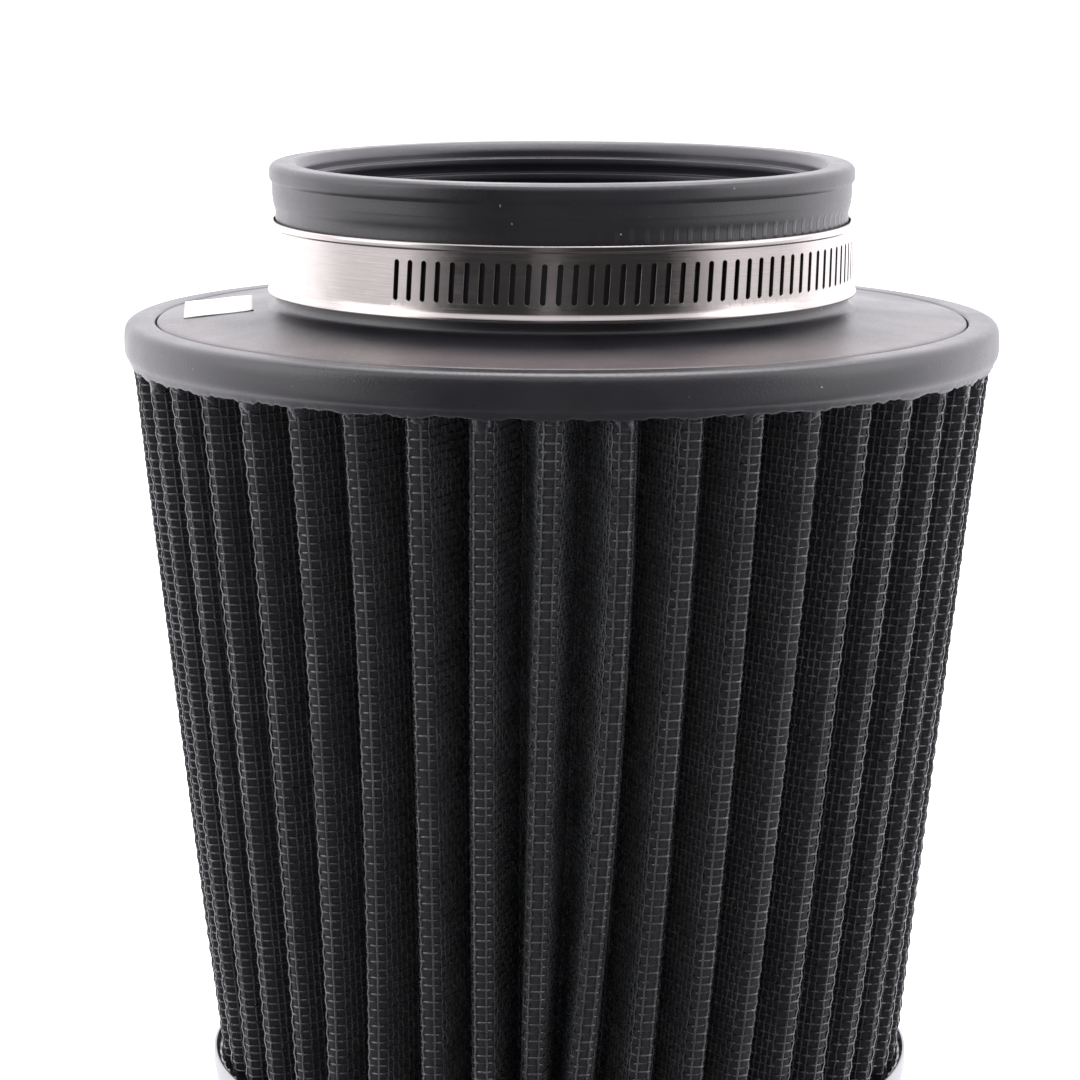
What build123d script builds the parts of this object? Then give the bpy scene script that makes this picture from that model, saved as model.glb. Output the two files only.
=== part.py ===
from build123d import *
import math
import os

# Conical clamp-on air filter, millimetres.
# Frame: the origin is the centre of the end cap's flat underside, +Z runs up
# the filter's axis to the neck, and -Y is the front.

# ---- whole filter ----------------------------------------------------------
FLANGE_Z = 152.4          # top plane of the urethane flange
NECK_H = 27.1             # neck height above the flange
NECK_TOP = FLANGE_Z + NECK_H
FLANGE_R = 76.2           # outer radius of the flange
FLANGE_T = 7.0            # height of the flange's outer wall
RING_FOOT = FLANGE_Z - FLANGE_T

# ---- neck boot -------------------------------------------------------------
BORE_R = 44.45            # crests of the sealing ribs, the clamping diameter
RIB_ROOT_R = 45.25        # between the ribs
MOUTH_R = 45.9            # lead-in at the lip
NECK_R = 49.8             # outer wall under the clamp
SWELL_R = 50.3            # the wall above the clamp, which squeezes the rest
BEAD_R = 50.85            # bead at the lip that keeps the clamp on
BEAD_H = 3.0
RIB_PITCH = 2.8
RIB_LAND = 1.1
N_RIBS = 8
SEAM_R = 70.6             # edge of the boot's disc, where the urethane meets it
DISC_T = 3.0
DISC_EDGE_Z = FLANGE_Z - 0.2
DISC_IN_R = 57.0
DISC_IN_Z = FLANGE_Z + 1.35

# ---- pleated pack ----------------------------------------------------------
N_PLEATS = 44
CREST_R_TOP = 75.06       # crest radius at the flange's foot
CREST_R_LOW = 61.25       # crest radius at the cap's rim
CAP_RIM_Z = 21.4
PLEAT_DEPTH = 16.4
CREST_FOLD = 2.15         # outer radius of a fold at its crest
VALLEY_FOLD = 1.95        # inner radius of a fold at its valley
SCREEN_T = 0.46           # woven wire, two wires thick
MEDIA_T = 0.88
LAYER_GAP = 0.03
PACK_TWIST = 1.7          # degrees the pack winds from cap to flange
PACK_TOP = FLANGE_Z - 3.9
PACK_LOW = 12.5
CLIP_L = 15.0             # depth of the strip that closes the pack's seam

# ---- urethane ring ---------------------------------------------------------
RING_IN_R = 54.5

# ---- end cap ---------------------------------------------------------------
CAP_R = 61.9
CAP_T = 0.5
CAP_FLOOR_T = 0.7
CAP_LIP_R = 62.35
CAP_EDGE = 3.4            # outside radius of the bottom edge
POT_TOP = 20.3
POT_IN_TOP = 16.2
BEAD_RING_R = 49.0        # pressed stiffening ring in the floor
BEAD_RING_W = 6.0
BEAD_RING_D = 1.2

# ---- label -----------------------------------------------------------------
LABEL_W = 12.0
LABEL_L = 29.0
LABEL_T = 0.12
LABEL_X, LABEL_Y, LABEL_TURN = -60.6, 6.6, 5.0

# ---- worm-drive clamp ------------------------------------------------------
BAND_W = 12.7
BAND_T = 0.6
BAND_Z = FLANGE_Z + 10.97  # middle of the band
BAND_IN_R = 50.12
LIP_OUT_R = 51.25
SADDLE_T = 0.6
UNDER_R = BAND_IN_R + SADDLE_T        # inner layer where it crosses the saddle
TAIL_R = UNDER_R + BAND_T + 0.3       # outer layer, under the screw
SLOT_L = 6.7
SLOT_W = 0.87
TAIL_SLOT_W = 1.12
SLOT_PITCH = 2.89         # degrees between slots
SLOT_TILT = 3.5
SLOT_FIRST = -122.5       # azimuth of the first slot, 0 at +X
HOUSE_X = 8.0             # half length of the housing
HOUSE_IN_Z = 6.45         # half width inside, at the band
HOUSE_T = 0.8
WORM_R = 4.2
WORM_CORE_R = 3.25
WORM_PITCH = TAIL_R * 1.006 * math.radians(SLOT_PITCH)
SCREW_Y = TAIL_R + WORM_R
BARREL_IN_R = 4.55
BARREL_R = 5.55
JOURNAL_R = 2.5
TIP_R = 2.0
JOURNAL_FIT = 0.06
HEAD_AF = 7.0
HEAD_X0, HEAD_X1 = -8.45, -13.6
HEAD_SLOT_W, HEAD_SLOT_D = 1.2, 1.7

os.makedirs("parts", exist_ok=True)


def save(name, shape):
    solids = shape.solids()
    shape = solids[0] if len(solids) == 1 else Compound(children=list(solids))
    export_step(shape, f"parts/{name}.step")
    box = shape.bounding_box()
    print(
        name,
        len(solids),
        "solids",
        round(shape.volume, 2),
        "mm3",
        [round(v, 2) for v in (*box.min, *box.max)],
        len(shape.faces()),
        "faces",
    )
    return shape


def spin(points, arc=360.0, start=0.0):
    """Revolves a closed polygon of (radius, height) points about Z."""
    face = make_face(Polyline(*[(r, 0, z) for r, z in points], close=True))
    turned = revolve(face, Axis.Z, revolution_arc=arc)
    return Rot(0, 0, start) * turned


def facet_solid(facets):
    faces = [
        Face(Wire.make_polygon([Vector(*p) for p in f], close=True)) for f in facets
    ]
    return Solid(Shell(faces))


# ---- pleats ----------------------------------------------------------------
def pleat_loop(offset, crest_steps=4, valley_steps=3):
    """Points of the folded sheet at the flange's foot, moved outwards by
    offset from the middle of its thickness. Each crest and valley is an arc
    and the flanks between them are straight."""
    half = SCREEN_T + LAYER_GAP + MEDIA_T / 2
    rc, rv = CREST_FOLD - half, VALLEY_FOLD - half
    crest_c = CREST_R_TOP - CREST_FOLD
    valley_c = CREST_R_TOP - PLEAT_DEPTH + VALLEY_FOLD
    step = math.pi / N_PLEATS
    cx, cy = crest_c, 0.0
    vx, vy = valley_c * math.cos(step), valley_c * math.sin(step)
    d = math.hypot(vx - cx, vy - cy)
    ux, uy = (vx - cx) / d, (vy - cy) / d
    lean = math.acos((rc + rv) / d)
    # the flank's normal, pointing into the open gap between two crests
    nx = ux * math.cos(lean) - uy * math.sin(lean)
    ny = ux * math.sin(lean) + uy * math.cos(lean)
    if ny < 0:
        nx = ux * math.cos(lean) + uy * math.sin(lean)
        ny = -ux * math.sin(lean) + uy * math.cos(lean)
    tilt = math.atan2(ny, nx)
    loop = []
    for k in range(N_PLEATS):
        at = 2 * step * k
        for i in range(crest_steps + 1):
            a = -tilt + 2 * tilt * i / crest_steps
            x, y = cx + (rc + offset) * math.cos(a), (rc + offset) * math.sin(a)
            loop.append(
                (
                    x * math.cos(at) - y * math.sin(at),
                    x * math.sin(at) + y * math.cos(at),
                )
            )
        # the valley's arc lies on the inner side of its centre
        a0, a1 = tilt + math.pi, 2 * step - tilt + math.pi
        if a1 > a0:
            a1 -= 2 * math.pi
        for i in range(valley_steps + 1):
            a = a0 + (a1 - a0) * i / valley_steps
            x, y = vx + (rv - offset) * math.cos(a), vy + (rv - offset) * math.sin(a)
            loop.append(
                (
                    x * math.cos(at) - y * math.sin(at),
                    x * math.sin(at) + y * math.cos(at),
                )
            )
    return loop


SLOPE = (CREST_R_TOP - CREST_R_LOW) / (RING_FOOT - CAP_RIM_Z)


def at_height(loop, z):
    """The loop at another height: the pack tapers to one point, and winds."""
    scale = (CREST_R_TOP - SLOPE * (RING_FOOT - z)) / CREST_R_TOP
    turn = math.radians(PACK_TWIST * (z - RING_FOOT) / (RING_FOOT - CAP_RIM_Z) - 1.2)
    c, s = math.cos(turn) * scale, math.sin(turn) * scale
    return [(x * c - y * s, x * s + y * c, z) for x, y in loop]


def pleated(outer, inner, low, high):
    """A folded sheet between two offsets, closed at both ends."""
    lo, hi = pleat_loop(outer), pleat_loop(inner)
    facets = []
    for loop, outward in ((lo, True), (hi, False)):
        a, b = at_height(loop, low), at_height(loop, high)
        n = len(a)
        for i in range(n):
            j = (i + 1) % n
            tri = [(a[i], a[j], b[j]), (a[i], b[j], b[i])]
            facets += tri if outward else [t[::-1] for t in tri]
    faces = [
        Face(Wire.make_polygon([Vector(*p) for p in f], close=True)) for f in facets
    ]
    for z in (low, high):
        rings = [
            Wire.make_polygon([Vector(*p) for p in at_height(loop, z)], close=True)
            for loop in (lo, hi)
        ]
        faces.append(Face(rings[0], [rings[1]]))
    return Solid(Shell(faces))


half_media = MEDIA_T / 2
outer_lo = half_media + LAYER_GAP
pack_half = outer_lo + SCREEN_T
outer_screen = save(
    "outer_wire_screen", pleated(pack_half, outer_lo, PACK_LOW, PACK_TOP)
)
media = save("filter_media", pleated(half_media, -half_media, PACK_LOW, PACK_TOP))
inner_screen = save(
    "inner_wire_screen", pleated(-outer_lo, -pack_half, PACK_LOW, PACK_TOP)
)
pack = pleated(pack_half, -pack_half, PACK_LOW, PACK_TOP)

# ---- seam strip: a sheet metal channel crimped over the pack's two ends ---------
seam_k = 11
seam_at = math.degrees(2 * math.pi / N_PLEATS * (seam_k + 0.5)) - 1.2

CREST_STEP = 360.0 / N_PLEATS
seam_z0, seam_z1 = PACK_LOW + 12.0, RING_FOOT - 4.0


def fold(offset, z):
    """One inner fold with the whole of both its flanks."""
    first = seam_k * 9 + 4
    return at_height(pleat_loop(offset)[first : first + 6], z)


skin, deep = -pack_half - 0.06, -pack_half - 0.56
clip_faces = []
for offset, flip in ((skin, False), (deep, True)):
    a, b = fold(offset, PACK_LOW), fold(offset, PACK_TOP)
    for i in range(5):
        tri = [(a[i], a[i + 1], b[i + 1]), (a[i], b[i + 1], b[i])]
        clip_faces += [t[::-1] for t in tri] if flip else tri
sa, da = fold(skin, PACK_LOW), fold(deep, PACK_LOW)
sb, db = fold(skin, PACK_TOP), fold(deep, PACK_TOP)
for k, flip in ((0, False), (5, True)):
    tri = [(sa[k], sb[k], db[k]), (sa[k], db[k], da[k])]
    clip_faces += [t[::-1] for t in tri] if flip else tri
clip_faces += [sa + da[::-1], (sb + db[::-1])[::-1]]
scale_at = lambda h: (CREST_R_TOP - SLOPE * (RING_FOOT - h)) / CREST_R_TOP
reach = CREST_R_TOP - PLEAT_DEPTH + CLIP_L * 0.62
keep = make_face(
    Polyline(
        (20, 0, seam_z0),
        (reach * scale_at(seam_z0), 0, seam_z0),
        (reach * scale_at(seam_z1), 0, seam_z1),
        (20, 0, seam_z1),
        close=True,
    )
)
keep = Rot(0, 0, seam_at - 0.8) * Pos(0, 12, 0) * extrude(keep, 24, dir=(0, -1, 0))
seam_clip = save("pack_seam_strip", facet_solid(clip_faces) & keep)

# ---- neck boot ---------------------------------------------------------------
neck = [(MOUTH_R, NECK_TOP - 0.5), (MOUTH_R + 0.5, NECK_TOP)]
neck += [(BEAD_R - 0.9, NECK_TOP), (BEAD_R - 0.25, NECK_TOP - 0.3)]
neck += [(BEAD_R, NECK_TOP - 0.9), (BEAD_R, NECK_TOP - BEAD_H + 0.6)]
neck += [(BEAD_R - 0.25, NECK_TOP - BEAD_H + 0.15), (SWELL_R, NECK_TOP - BEAD_H)]
neck += [(SWELL_R, FLANGE_Z + 20.4), (NECK_R, FLANGE_Z + 19.0)]
neck += [(NECK_R, FLANGE_Z + 3.7)]
fillet = [(NECK_R + 0.15, FLANGE_Z + 3.05), (NECK_R + 0.7, FLANGE_Z + 2.5)]
fillet += [(NECK_R + 2.0, FLANGE_Z + 2.05), (NECK_R + 4.4, FLANGE_Z + 1.65)]
disc_top = fillet + [(DISC_IN_R, DISC_IN_Z), (SEAM_R, DISC_EDGE_Z)]
neck += disc_top
neck += [(SEAM_R, FLANGE_Z - DISC_T), (BORE_R + 2.4, FLANGE_Z - DISC_T)]
neck += [(BORE_R + 0.9, FLANGE_Z - DISC_T + 1.5)]
ribs = []
for i in range(N_RIBS):
    top = NECK_TOP - RIB_PITCH * (i + 1)
    ribs += [(RIB_ROOT_R, top), (BORE_R, top - 0.12), (BORE_R, top - RIB_LAND)]
    ribs += [(RIB_ROOT_R, top - RIB_PITCH + 0.35)] if i < N_RIBS - 1 else []
neck += [(BORE_R, FLANGE_Z - DISC_T + 2.4)]
neck += ribs[::-1]
# one moulding, kept as two touching solids: its tube and its disc
moulding = spin(neck)
core = Pos(0, 0, FLANGE_Z) * Cylinder(NECK_R + 1.2, 80)
neck_boot = save("neck_boot", Compound(children=[*(moulding & core).solids(), *(moulding - core).solids()]))

# ---- urethane ring, cast round the pack's top ends ---------------------------
z = FLANGE_Z
ring = [(SEAM_R + 0.12, z - DISC_T - 0.05), (SEAM_R + 0.12, z - 0.35)]
ring += [(SEAM_R + 0.5, z - 0.02), (FLANGE_R - 1.5, z), (FLANGE_R - 0.45, z - 0.4)]
ring += [(FLANGE_R - 0.05, z - 1.2), (FLANGE_R, z - 2.0), (FLANGE_R, z - 4.4)]
ring += [(FLANGE_R - 0.5, z - 5.9), (FLANGE_R - 1.1, RING_FOOT)]
ring += [(RING_IN_R + 1.2, RING_FOOT - 0.4), (RING_IN_R, RING_FOOT + 0.8)]
ring += [(RING_IN_R, z - DISC_T - 0.05)]
flange_ring = save("flange_ring", spin(ring) - pack)

# ---- blank label on the boot's disc ------------------------------------------
over = [(r, h + 0.01) for r, h in disc_top[2:]]
skin = over + [(r, h + LABEL_T) for r, h in over[::-1]]
patch = Pos(LABEL_X, LABEL_Y, FLANGE_Z) * Rot(0, 0, LABEL_TURN) * Box(
    LABEL_W, LABEL_L, 12
)
blank_label = save("blank_label", spin(skin) & patch)

# ---- end cap, pressed sheet metal ---------------------------------------------
e = CAP_EDGE


def edge(radius, steps=5):
    return [
        (
            CAP_R - e + radius * math.sin(math.radians(90 * i / steps)),
            e - radius * math.cos(math.radians(90 * i / steps)),
        )
        for i in range(steps + 1)
    ]


t = CAP_FLOOR_T
b0, b1 = BEAD_RING_R - BEAD_RING_W / 2, BEAD_RING_R + BEAD_RING_W / 2
d = BEAD_RING_D
cap = [(0, 0), (b0, 0), (b0 + 1.2, d), (b1 - 1.2, d), (b1, 0)]
cap += edge(e)
cap += [(CAP_R, CAP_RIM_Z - 3.4), (CAP_LIP_R, CAP_RIM_Z - 2.9)]
cap += [(CAP_LIP_R, CAP_RIM_Z - 0.15), (CAP_LIP_R - 0.15, CAP_RIM_Z)]
cap += [(CAP_R - 0.05, CAP_RIM_Z), (CAP_R - 0.15, CAP_RIM_Z - 0.2)]
cap += [(CAP_R - 0.15, CAP_RIM_Z - 2.4), (CAP_R - CAP_T, CAP_RIM_Z - 3.2)]
inner_edge = edge(e - t)
inner_edge[-1] = (CAP_R - CAP_T, e)
cap += inner_edge[::-1]
cap += [(b1 + 0.3, t), (b1 - 0.9, d + t), (b0 + 0.9, d + t), (b0 - 0.3, t), (0, t)]
end_cap = save("end_cap", spin(cap))

# ---- potting poured in the cap round the pack's ends ---------------------------
g = 0.02
pot = [(0, t + g), (b0 - 0.3, t + g), (b0 + 0.9, d + t + g), (b1 - 0.9, d + t + g)]
pot += [(b1 + 0.3, t + g)]
pot += [(r - g if i == 5 else r, h + g) for i, (r, h) in enumerate(inner_edge)]
pot += [(CAP_R - CAP_T - g, CAP_RIM_Z - 3.2), (CAP_R - 0.17, CAP_RIM_Z - 2.4)]
pot += [(CAP_R - 0.17, POT_TOP + 0.25), (CAP_R - 0.9, POT_TOP)]
pot += [(CREST_R_LOW - PLEAT_DEPTH * 0.95, POT_TOP), (42.0, POT_IN_TOP), (0, POT_IN_TOP)]
end_potting = save("end_potting", spin(pot) - pack)

# ---- clamp ---------------------------------------------------------------------
half_w = BAND_W / 2


def strip(path, thickness, width, z0):
    """Sheet of a given thickness outside a path of (radius, azimuth) points."""
    inner = [(r * math.cos(math.radians(a)), r * math.sin(math.radians(a))) for r, a in path]
    outer = [
        ((r + thickness) * math.cos(math.radians(a)), (r + thickness) * math.sin(math.radians(a)))
        for r, a in path
    ]
    face = make_face(Polyline(*inner, *outer[::-1], close=True))
    return Pos(0, 0, z0) * extrude(face, width)


def arc_strip(radius, thickness, a0, a1, z0, z1):
    return spin(
        [(radius, z0), (radius + thickness, z0), (radius + thickness, z1), (radius, z1)],
        a1 - a0,
        a0,
    )


def slot_tool(azimuth, width):
    body = Box(6, width, SLOT_L - width)
    body += Pos(0, 0, (SLOT_L - width) / 2) * Rot(0, 90, 0) * Cylinder(width / 2, 6)
    body += Pos(0, 0, -(SLOT_L - width) / 2) * Rot(0, 90, 0) * Cylinder(width / 2, 6)
    # the slot's top leans the way the azimuth grows
    return Rot(0, 0, azimuth) * Pos(BAND_IN_R + 1, 0, BAND_Z) * Rot(-SLOT_TILT, 0, 0) * body


z0, z1 = BAND_Z - half_w, BAND_Z + half_w
under = [(UNDER_R, 80.4 + 1.2 * i) for i in range(18)]
under += [(UNDER_R - 0.12, 102.2), (BAND_IN_R + 0.12, 105.5), (BAND_IN_R, 107.0)]
loop_start, loop_end = 107.0, 427.0
entry = [(BAND_IN_R, 427.0), (BAND_IN_R + 0.25, 429.5), (BAND_IN_R + 0.8, 433.0)]
entry += [(TAIL_R - 0.2, 436.5), (TAIL_R, 438.5), (TAIL_R, 443.2)]
band = strip(under, BAND_T, BAND_W, z0)
band += arc_strip(BAND_IN_R, BAND_T, loop_start, loop_end, z0, z1)
band += strip(entry, BAND_T, BAND_W, z0)
lip = LIP_OUT_R - (BAND_IN_R + BAND_T)
o = BAND_IN_R + BAND_T
top_lip = [(o - 0.1, z1 - 1.3), (o + 0.12, z1 - 1.25), (o + lip * 0.6, z1 - 0.8)]
top_lip += [(o + lip * 0.6, z1 - 0.2), (o + 0.15, z1), (o - 0.1, z1)]
low_lip = [(o - 0.1, z0), (o + lip * 0.7, z0), (o + lip, z0 + 0.3), (o + lip, z0 + 0.9)]
low_lip += [(o + 0.15, z0 + 1.8), (o - 0.1, z0 + 1.85)]
lip_arc = (134.0, 424.0)
for profile in (top_lip, low_lip):
    band += spin(profile, lip_arc[1] - lip_arc[0], lip_arc[0])
tools = []
a = SLOT_FIRST
while a < 83.0 - SLOT_PITCH:
    if a < 64 or 66 < a < 83:
        tools.append(slot_tool(a, SLOT_W))
    a += SLOT_PITCH
for tool in tools:
    band = band - tool
clamp_band = save("clamp_band", band)

# the free end: slotted, through the housing and out under the screw's head
TAIL_A0, TAIL_A1 = 88.5, 131.0
tail = arc_strip(TAIL_R, BAND_T, TAIL_A0, TAIL_A1, z0, z1)
corner = BAND_W / 2
for side in (1, -1):
    block = Rot(0, 0, TAIL_A1) * (
        Pos(TAIL_R, -2.0, BAND_Z + side * corner) * Box(6, 8, 5.2)
        - Pos(TAIL_R, -4.4, BAND_Z + side * (corner - 3.4)) * Rot(0, 90, 0) * Cylinder(4.2, 8)
        - Pos(TAIL_R, -8.4, BAND_Z + side * corner) * Box(8, 8, 8)
    )
    tail = tail - block
a = 90.0
while a < TAIL_A1 - 5:
    tail = tail - slot_tool(a, TAIL_SLOT_W)
    a += SLOT_PITCH
clamp_tail = save("clamp_band_tail", tail)

# housing: walls at the band's edges, a barrel over the worm, a wall at each end
yb = TAIL_R + BAND_T + 0.35
w_out = HOUSE_IN_Z + HOUSE_T


def house_section(grow):
    """Outline in (height along Z from the band, Y), grown by the wall."""
    w, r = HOUSE_IN_Z + grow, BARREL_IN_R + grow
    pts = [(w, 49.0), (w, yb + 0.3 + grow * 0.5)]
    shoulder = math.radians(-8 + 20 * grow / HOUSE_T)
    arc = [
        (r * math.cos(u), SCREW_Y + r * math.sin(u))
        for u in [shoulder + (math.pi - 2 * shoulder) * i / 14 for i in range(15)]
    ]
    return pts + arc + [(-w, yb + 0.3 + grow * 0.5), (-w, 49.0)]


def house_block(grow, x0, x1):
    face = make_face(Polyline(*[(y, BAND_Z + h) for h, y in house_section(grow)], close=True))
    return Pos(x0, 0, 0) * extrude(Plane.YZ * face, x1 - x0)


def post(r0, x0, x1):
    return Pos((x0 + x1) / 2, SCREW_Y, BAND_Z) * Rot(0, 90, 0) * Cylinder(r0, x1 - x0)


housing = house_block(HOUSE_T, -HOUSE_X, HOUSE_X)
housing -= house_block(0, -HOUSE_X + HOUSE_T, HOUSE_X - HOUSE_T)
window = Pos(0, 49.0 + (yb - 49.0) / 2, BAND_Z) * Box(40, yb - 49.0, 2 * HOUSE_IN_Z)
housing -= window
housing -= post(JOURNAL_R + JOURNAL_FIT, -HOUSE_X - 1, -HOUSE_X + HOUSE_T + 0.5)
housing -= post(TIP_R + JOURNAL_FIT, HOUSE_X - HOUSE_T - 0.5, HOUSE_X + 1)
housing -= Pos(0, 0, BAND_Z) * Cylinder(UNDER_R + 0.02, 40)
clamp_housing = save("clamp_housing", housing)

# saddle: a plate under the inner layer, its tabs folded up outside the housing
S_X = 9.3
sa = math.degrees(math.asin(S_X / BAND_IN_R))
s_in = w_out + 0.03
TAB_T = 0.45
saddle = arc_strip(
    BAND_IN_R, SADDLE_T - 0.03, 90 - sa, 90 + sa, BAND_Z - s_in - TAB_T, BAND_Z + s_in + TAB_T
)
corner_cut = Pos(0, 50, BAND_Z) * Box(30, 8, 40) - Pos(0, 50, BAND_Z) * Box(9.0, 8, 40)
corner_cut -= Pos(0, 50, BAND_Z) * Box(30, 8, 2 * HOUSE_IN_Z - 0.2)
saddle -= corner_cut
for side in (1, -1):
    zc = BAND_Z + side * (s_in + TAB_T / 2)
    tab = Pos(0, 51.75, zc) * Box(8.8, 3.5, TAB_T)
    tab = tab - Pos(0, 0, BAND_Z) * Cylinder(BAND_IN_R + 0.05, 40)
    saddle += tab
clamp_saddle = save("clamp_saddle", saddle)

# screw: right-hand worm between two journals, slotted hexagon head
STEPS = 18
T_X0, T_X1 = -5.5, 5.35


def worm():
    turns = (T_X1 - T_X0) / WORM_PITCH
    n = int(turns * STEPS)
    rows = []
    for i in range(n + 1):
        x = T_X0 + (T_X1 - T_X0) * i / n
        u = 2 * math.pi * x / WORM_PITCH + math.pi
        fade = min(1.0, i / 5.0, (n - i) / 5.0)
        top = WORM_CORE_R - 0.12 + (WORM_R - WORM_CORE_R + 0.12) * fade
        base = WORM_CORE_R - 0.15
        wide, thin = 0.62, 0.62 - 0.43 * fade
        row = []
        for r, dx in ((base, -wide), (top, -thin), (top, thin), (base, wide)):
            row.append((x + dx, SCREW_Y + r * math.cos(u), BAND_Z + r * math.sin(u)))
        rows.append(row)
    facets = [rows[0][::-1], rows[-1]]
    for p, q in zip(rows, rows[1:]):
        for k in range(4):
            m = (k + 1) % 4
            facets += [(p[k], p[m], q[m]), (p[k], q[m], q[k])]
    return facet_solid(facets)


screw = post(WORM_CORE_R, -HOUSE_X + HOUSE_T + 0.3, HOUSE_X - HOUSE_T - 0.3)
screw += worm()
screw += post(JOURNAL_R, HEAD_X0 - 0.01, -HOUSE_X + HOUSE_T + 0.31)
screw += post(TIP_R, HOUSE_X - HOUSE_T - 0.31, HOUSE_X + 0.7)
corner_r = HEAD_AF / math.sqrt(3)
hexagon = Plane.YZ * RegularPolygon(corner_r, 6)
head = Pos(HEAD_X1, SCREW_Y, BAND_Z) * extrude(hexagon, HEAD_X0 - HEAD_X1)
dome = Pos(HEAD_X1, SCREW_Y, BAND_Z) * Rot(0, 90, 0) * Cone(
    HEAD_AF / 2 * 0.96, corner_r + 2.2, 3.0, align=(Align.CENTER, Align.CENTER, Align.MIN)
)
head = head & (dome + post(corner_r + 1, HEAD_X1 + 2.6, HEAD_X0 + 1))
head -= Pos(HEAD_X1, SCREW_Y, BAND_Z) * Box(2 * HEAD_SLOT_D, 12, HEAD_SLOT_W)
screw += head
clamp_screw = save("clamp_screw", screw)
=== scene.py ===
import math

import bpy
import numpy as np
from mathutils import Matrix, Vector


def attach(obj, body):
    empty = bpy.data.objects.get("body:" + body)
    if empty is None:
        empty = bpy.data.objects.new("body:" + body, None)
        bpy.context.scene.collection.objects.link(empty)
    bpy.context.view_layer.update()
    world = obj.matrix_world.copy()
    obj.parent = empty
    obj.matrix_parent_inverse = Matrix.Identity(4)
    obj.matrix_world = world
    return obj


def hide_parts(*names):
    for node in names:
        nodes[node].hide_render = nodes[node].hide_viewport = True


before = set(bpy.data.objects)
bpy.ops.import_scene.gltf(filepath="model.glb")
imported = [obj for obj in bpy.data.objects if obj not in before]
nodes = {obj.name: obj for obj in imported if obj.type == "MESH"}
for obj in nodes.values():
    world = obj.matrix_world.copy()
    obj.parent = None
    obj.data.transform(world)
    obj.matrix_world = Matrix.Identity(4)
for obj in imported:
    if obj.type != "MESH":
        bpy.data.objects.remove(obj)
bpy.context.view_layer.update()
MM = 0.001
TOP = 152.4  # flange plane, mm

# ---------------------------------------------------------------- camera
cam_data = bpy.data.cameras.new("camera")
cam_data.lens, cam_data.sensor_width = 123.1, 36.0
cam_data.clip_start, cam_data.clip_end = 0.01, 60.0
cam = bpy.data.objects.new("camera", cam_data)
bpy.context.scene.collection.objects.link(cam)
cam.matrix_world = (
    Matrix.Translation((-0.0037, -0.643, 0.2286))
    @ Matrix.Rotation(math.radians(90 - 10.23), 4, "X")
    @ Matrix.Rotation(math.radians(0.12), 4, "Z")
)
bpy.context.scene.camera = cam


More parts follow.
